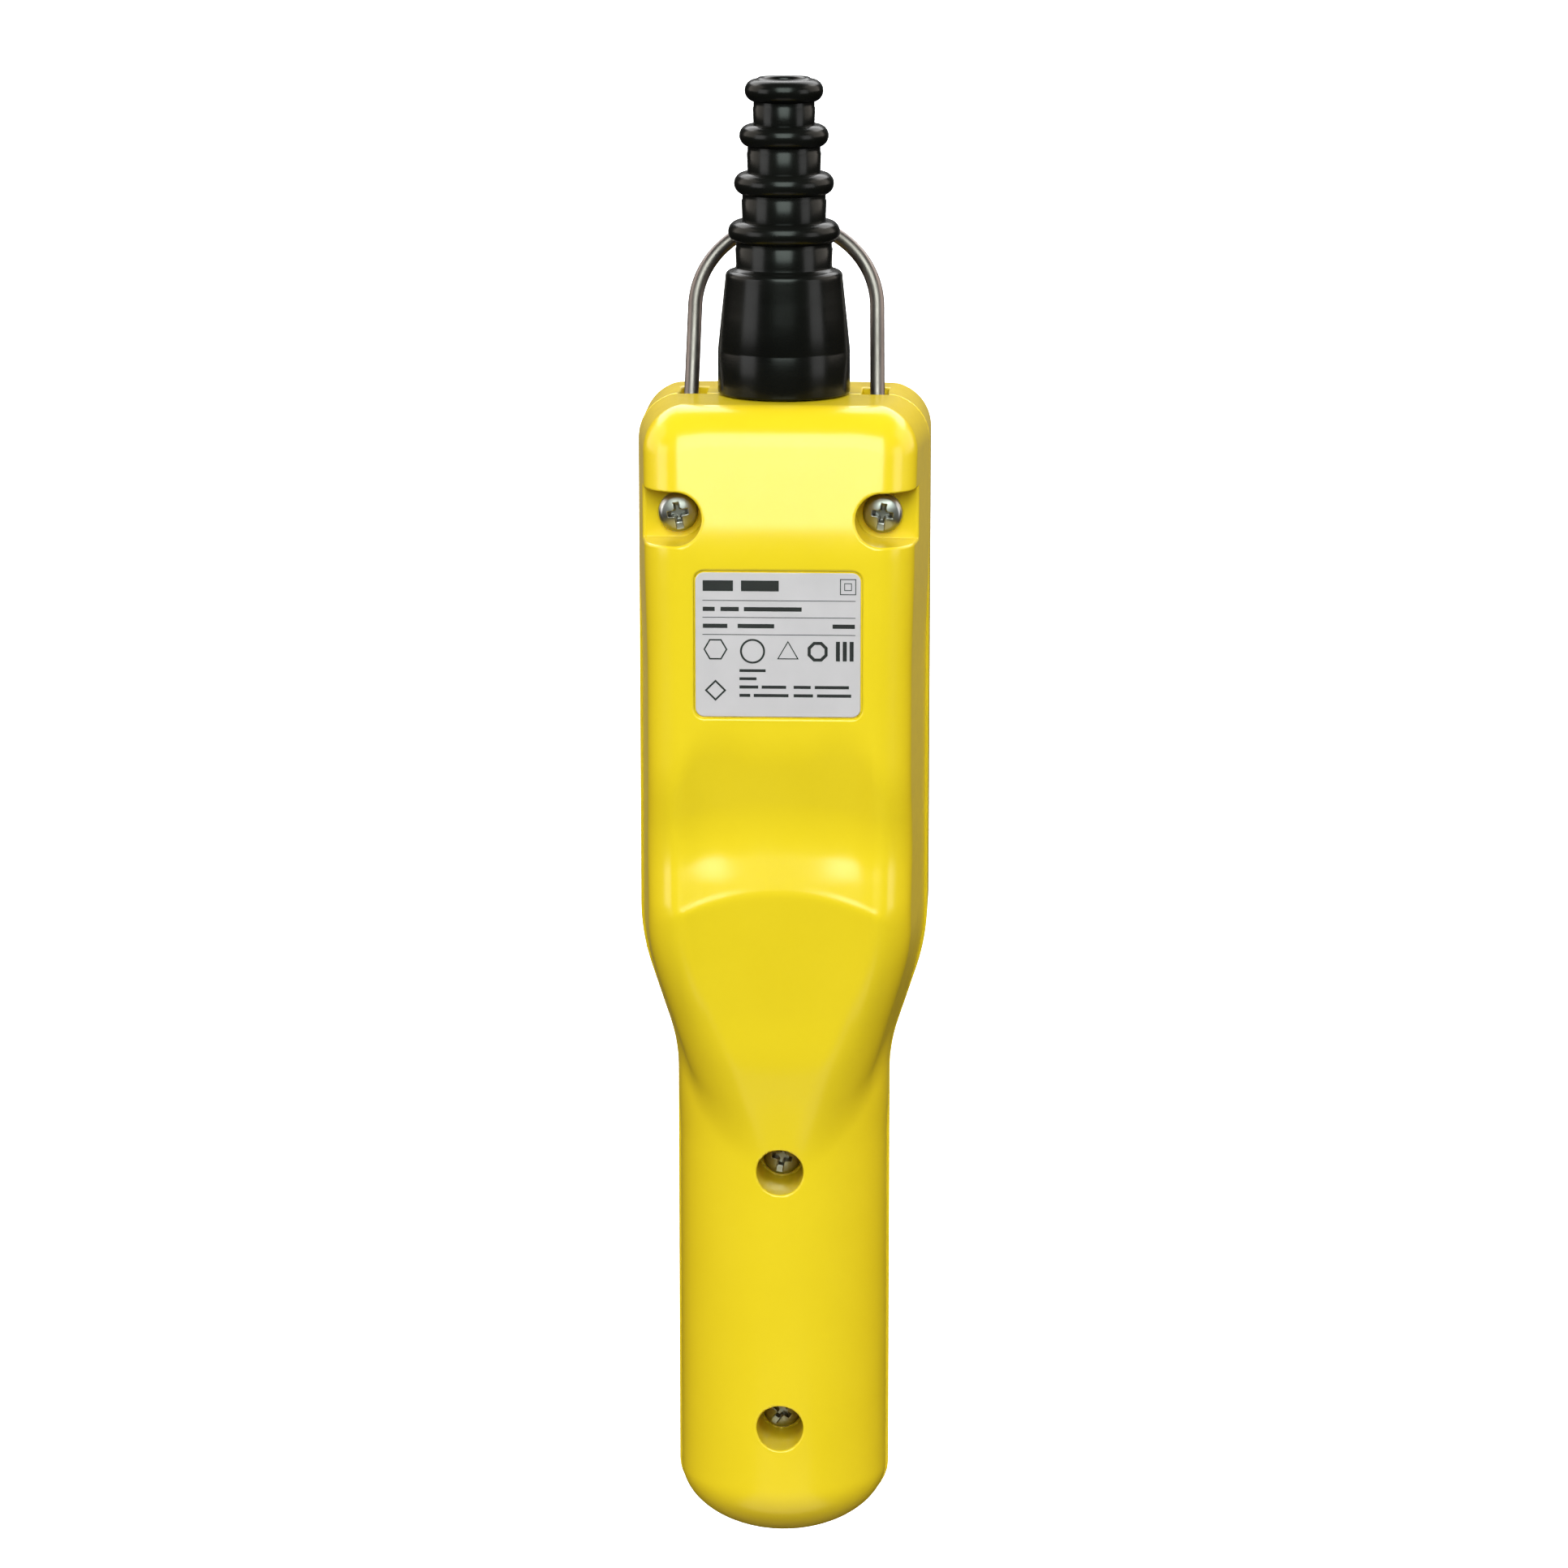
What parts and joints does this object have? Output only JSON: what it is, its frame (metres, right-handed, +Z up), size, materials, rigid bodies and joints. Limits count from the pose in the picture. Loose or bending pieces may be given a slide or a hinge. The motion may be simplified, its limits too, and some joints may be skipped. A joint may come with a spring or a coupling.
{
  "type": "pendant control station",
  "caption": "Handheld hoist pendant: yellow two-shell enclosure with grip, raise and lower push-buttons, stepped rubber cable sleeve and wire suspension bail.",
  "frame": {"origin": "the hang point: underside of the wire bail's arch, on the station's middle plane, where a hook carries it", "axes": "+Z up along the station, towards the cable; +Y towards the back with the rating plate; the push-buttons face -Y; X across, the bail's feet lie along it"},
  "size_m": [0.052, 0.0551, 0.2668],
  "materials": {
    "yellow_plastic": "satin moulded",
    "black_rubber": "satin",
    "white_rubber": "satin",
    "white_plastic": "moulded",
    "black_plastic": "fine texture",
    "grey_plastic": "moulded",
    "steel": "zinc plated",
    "steel_wire": "drawn wire",
    "silver_foil": "satin foil",
    "brass": "turned"
  },
  "bodies": {
    "enclosure": {"rear_shell": "yellow_plastic", "front_shell": "yellow_plastic", "shell_gasket": "black_rubber", "cable_sleeve": "black_rubber", "rating_plate": "silver_foil", "casing_screw_top_left": "steel", "casing_screw_top_right": "steel", "casing_screw_grip_upper": "steel", "casing_screw_grip_lower": "steel", "cable_clamp": "grey_plastic", "clamp_screw_left": "steel", "clamp_screw_right": "steel", "contact_carrier": "grey_plastic", "carrier_screw_left": "steel", "carrier_screw_right": "steel", "raise_boot": "white_rubber", "raise_bezel_ring": "black_plastic", "raise_bushing": "black_plastic", "raise_fixing_nut": "grey_plastic", "raise_return_spring": "steel", "raise_contact_block": "black_plastic", "raise_fixed_contact_left": "brass", "raise_fixed_contact_right": "brass", "raise_terminal_screw_left": "steel", "raise_terminal_screw_right": "steel", "lower_boot": "black_rubber", "lower_bezel_ring": "black_plastic", "lower_bushing": "black_plastic", "lower_fixing_nut": "grey_plastic", "lower_return_spring": "steel", "lower_contact_block": "black_plastic", "lower_fixed_contact_left": "brass", "lower_fixed_contact_right": "brass", "lower_terminal_screw_left": "steel", "lower_terminal_screw_right": "steel"},
    "bail": {"suspension_bail": "steel_wire"},
    "raise_button": {"raise_button_cap": "white_rubber", "raise_stem": "black_plastic", "raise_contact_slider": "white_plastic", "raise_contact_bridge": "brass", "raise_contact_spring": "steel"},
    "lower_button": {"lower_button_cap": "black_rubber", "lower_stem": "black_plastic", "lower_contact_slider": "white_plastic", "lower_contact_bridge": "brass", "lower_contact_spring": "steel"}
  },
  "joints": [
    {"name": "bail_swing", "type": "hinge", "parent": "enclosure", "child": "bail", "pos_m": [0, 0.01568, -0.03146], "axis": [1, 0, 0], "range_deg": [0, 30]},
    {"name": "raise_press", "type": "slide", "parent": "enclosure", "child": "raise_button", "axis": [0, 1, 0], "range_m": [0, 0.0045], "stiffness_N_per_m": 700, "springref_m": -0.003, "deforming": ["raise_boot", "raise_return_spring"]},
    {"name": "lower_press", "type": "slide", "parent": "enclosure", "child": "lower_button", "axis": [0, 1, 0], "range_m": [0, 0.0045], "stiffness_N_per_m": 700, "springref_m": -0.003, "deforming": ["lower_boot", "lower_return_spring"]}
  ]
}
